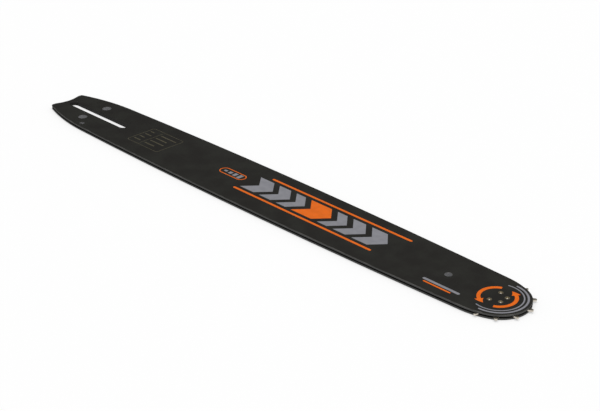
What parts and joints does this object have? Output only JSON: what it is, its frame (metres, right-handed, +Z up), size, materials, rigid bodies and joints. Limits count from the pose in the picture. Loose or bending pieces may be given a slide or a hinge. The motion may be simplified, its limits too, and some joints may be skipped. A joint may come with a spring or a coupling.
{
  "type": "chainsaw guide bar",
  "caption": "Long flat laminated guide bar with a stud slot at the tail, a chain groove round its edge and a toothed sprocket that turns in its rounded nose.",
  "frame": {"origin": "on the lower face, at the centre of the rounded rear end of the stud slot", "axes": "+X along the bar from the tail to the nose, +Z up through the plates; lying flat"},
  "size_m": [0.5694, 0.068, 0.0044],
  "materials": {
    "bar_coating": "satin",
    "core_steel": "dull",
    "sprocket_steel": "ground",
    "bearing_steel": "ground",
    "rivet_steel": "plated",
    "grey_print": "satin",
    "orange_print": "satin"
  },
  "bodies": {
    "bar": {"side_plate_lower": "bar_coating", "core_plate": "core_steel", "side_plate_upper": "bar_coating", "bearing_hub": "bearing_steel", "nose_rivets": "rivet_steel"},
    "sprocket": {"nose_sprocket": "sprocket_steel"},
    "roller_set": {"roller_01": "bearing_steel", "roller_02": "bearing_steel", "roller_03": "bearing_steel", "roller_04": "bearing_steel", "roller_05": "bearing_steel", "roller_06": "bearing_steel", "roller_07": "bearing_steel", "roller_08": "bearing_steel", "roller_09": "bearing_steel", "roller_10": "bearing_steel", "roller_11": "bearing_steel", "roller_12": "bearing_steel", "roller_13": "bearing_steel", "roller_14": "bearing_steel", "roller_15": "bearing_steel", "roller_16": "bearing_steel", "roller_17": "bearing_steel", "roller_18": "bearing_steel", "roller_19": "bearing_steel", "roller_20": "bearing_steel", "roller_21": "bearing_steel", "roller_22": "bearing_steel", "roller_23": "bearing_steel", "roller_24": "bearing_steel", "roller_25": "bearing_steel", "roller_26": "bearing_steel", "roller_27": "bearing_steel"}
  },
  "joints": [
    {"name": "sprocket_spin", "type": "hinge", "parent": "bar", "child": "sprocket", "pos_m": [0.5285, 0, 0.0022], "axis": [0, 0, 1], "continuous": true},
    {"name": "roller_orbit", "type": "hinge", "parent": "bar", "child": "roller_set", "pos_m": [0.5285, 0, 0.0022], "axis": [0, 0, 1], "continuous": true}
  ],
  "couplings": [
    {"joint": "roller_orbit", "follows": "sprocket_spin", "ratio": 0.557}
  ]
}
